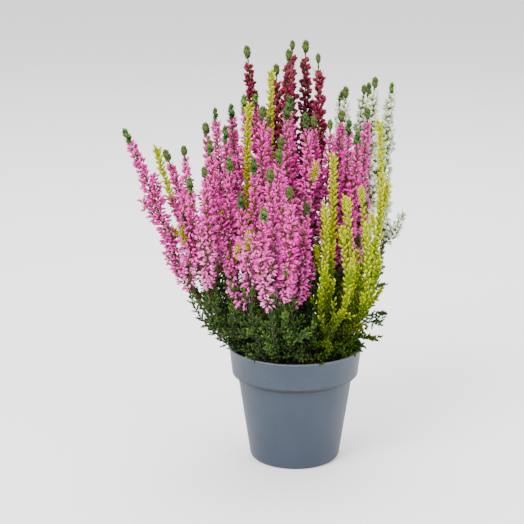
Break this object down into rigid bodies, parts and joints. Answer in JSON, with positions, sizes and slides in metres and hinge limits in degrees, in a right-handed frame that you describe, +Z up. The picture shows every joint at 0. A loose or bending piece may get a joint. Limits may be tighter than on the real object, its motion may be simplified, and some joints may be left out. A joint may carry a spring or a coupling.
{
  "type": "potted heather",
  "caption": "Round nursery pot of dark soil with a mixed planting of upright heathers: spikes of pink, crimson and white florets over scale-leaved green and yellow shoots.",
  "frame": {"origin": "centre of the pot's underside, on its small flat boss, where the pot stands", "axes": "+Z up, -Y towards the side seen in the picture, +X to that view's right"},
  "size_m": [0.2113, 0.1559, 0.3259],
  "materials": {
    "pot_plastic": "satin",
    "potting_soil": "matte",
    "heather_leaf": "matte",
    "yellow_leaf": "matte",
    "pink_floret": "matte",
    "crimson_floret": "matte",
    "white_floret": "matte"
  },
  "bodies": {
    "root": {"crimson_spike_1": "crimson_floret", "crimson_spike_2": "crimson_floret", "crimson_spike_3": "crimson_floret", "crimson_spike_4": "crimson_floret", "crimson_spike_5": "crimson_floret", "crimson_spike_6": "crimson_floret", "crimson_stems": "heather_leaf", "pink_back_spike_1": "pink_floret", "pink_back_spike_2": "pink_floret", "pink_back_spike_3": "pink_floret", "pink_back_spike_4": "pink_floret", "pink_back_spike_5": "pink_floret", "pink_back_spike_6": "pink_floret", "pink_back_stems": "heather_leaf", "pink_front_spike_1": "pink_floret", "pink_front_spike_2": "pink_floret", "pink_front_spike_3": "pink_floret", "pink_front_spike_4": "pink_floret", "pink_front_spike_5": "pink_floret", "pink_front_spike_6": "pink_floret", "pink_front_spike_7": "pink_floret", "pink_front_stems": "heather_leaf", "pink_left_spike_1": "pink_floret", "pink_left_spike_2": "pink_floret", "pink_left_spike_3": "pink_floret", "pink_left_spike_4": "pink_floret", "pink_left_spike_5": "pink_floret", "pink_left_spike_6": "pink_floret", "pink_left_spike_7": "pink_floret", "pink_left_spike_8": "pink_floret", "pink_left_stems": "heather_leaf", "pink_middle_spike_1": "pink_floret", "pink_middle_spike_2": "pink_floret", "pink_middle_spike_3": "pink_floret", "pink_middle_spike_4": "pink_floret", "pink_middle_spike_5": "pink_floret", "pink_middle_spike_6": "pink_floret", "pink_middle_spike_7": "pink_floret", "pink_middle_stems": "heather_leaf", "pink_right_spike_1": "pink_floret", "pink_right_spike_2": "pink_floret", "pink_right_spike_3": "pink_floret", "pink_right_spike_4": "pink_floret", "pink_right_spike_5": "pink_floret", "pink_right_stems": "heather_leaf", "pot": "pot_plastic", "soil": "potting_soil", "white_spike_1": "white_floret", "white_spike_2": "white_floret", "white_spike_3": "white_floret", "white_spike_4": "white_floret", "white_spike_5": "white_floret", "white_spike_6": "white_floret", "white_stems": "heather_leaf", "yellow_sprig_back": "yellow_leaf", "yellow_sprig_front": "yellow_leaf", "yellow_sprig_left": "yellow_leaf", "yellow_sprig_right": "yellow_leaf", "yellow_sprig_stray": "yellow_leaf", "yellow_stems": "yellow_leaf"}
  },
  "joints": []
}
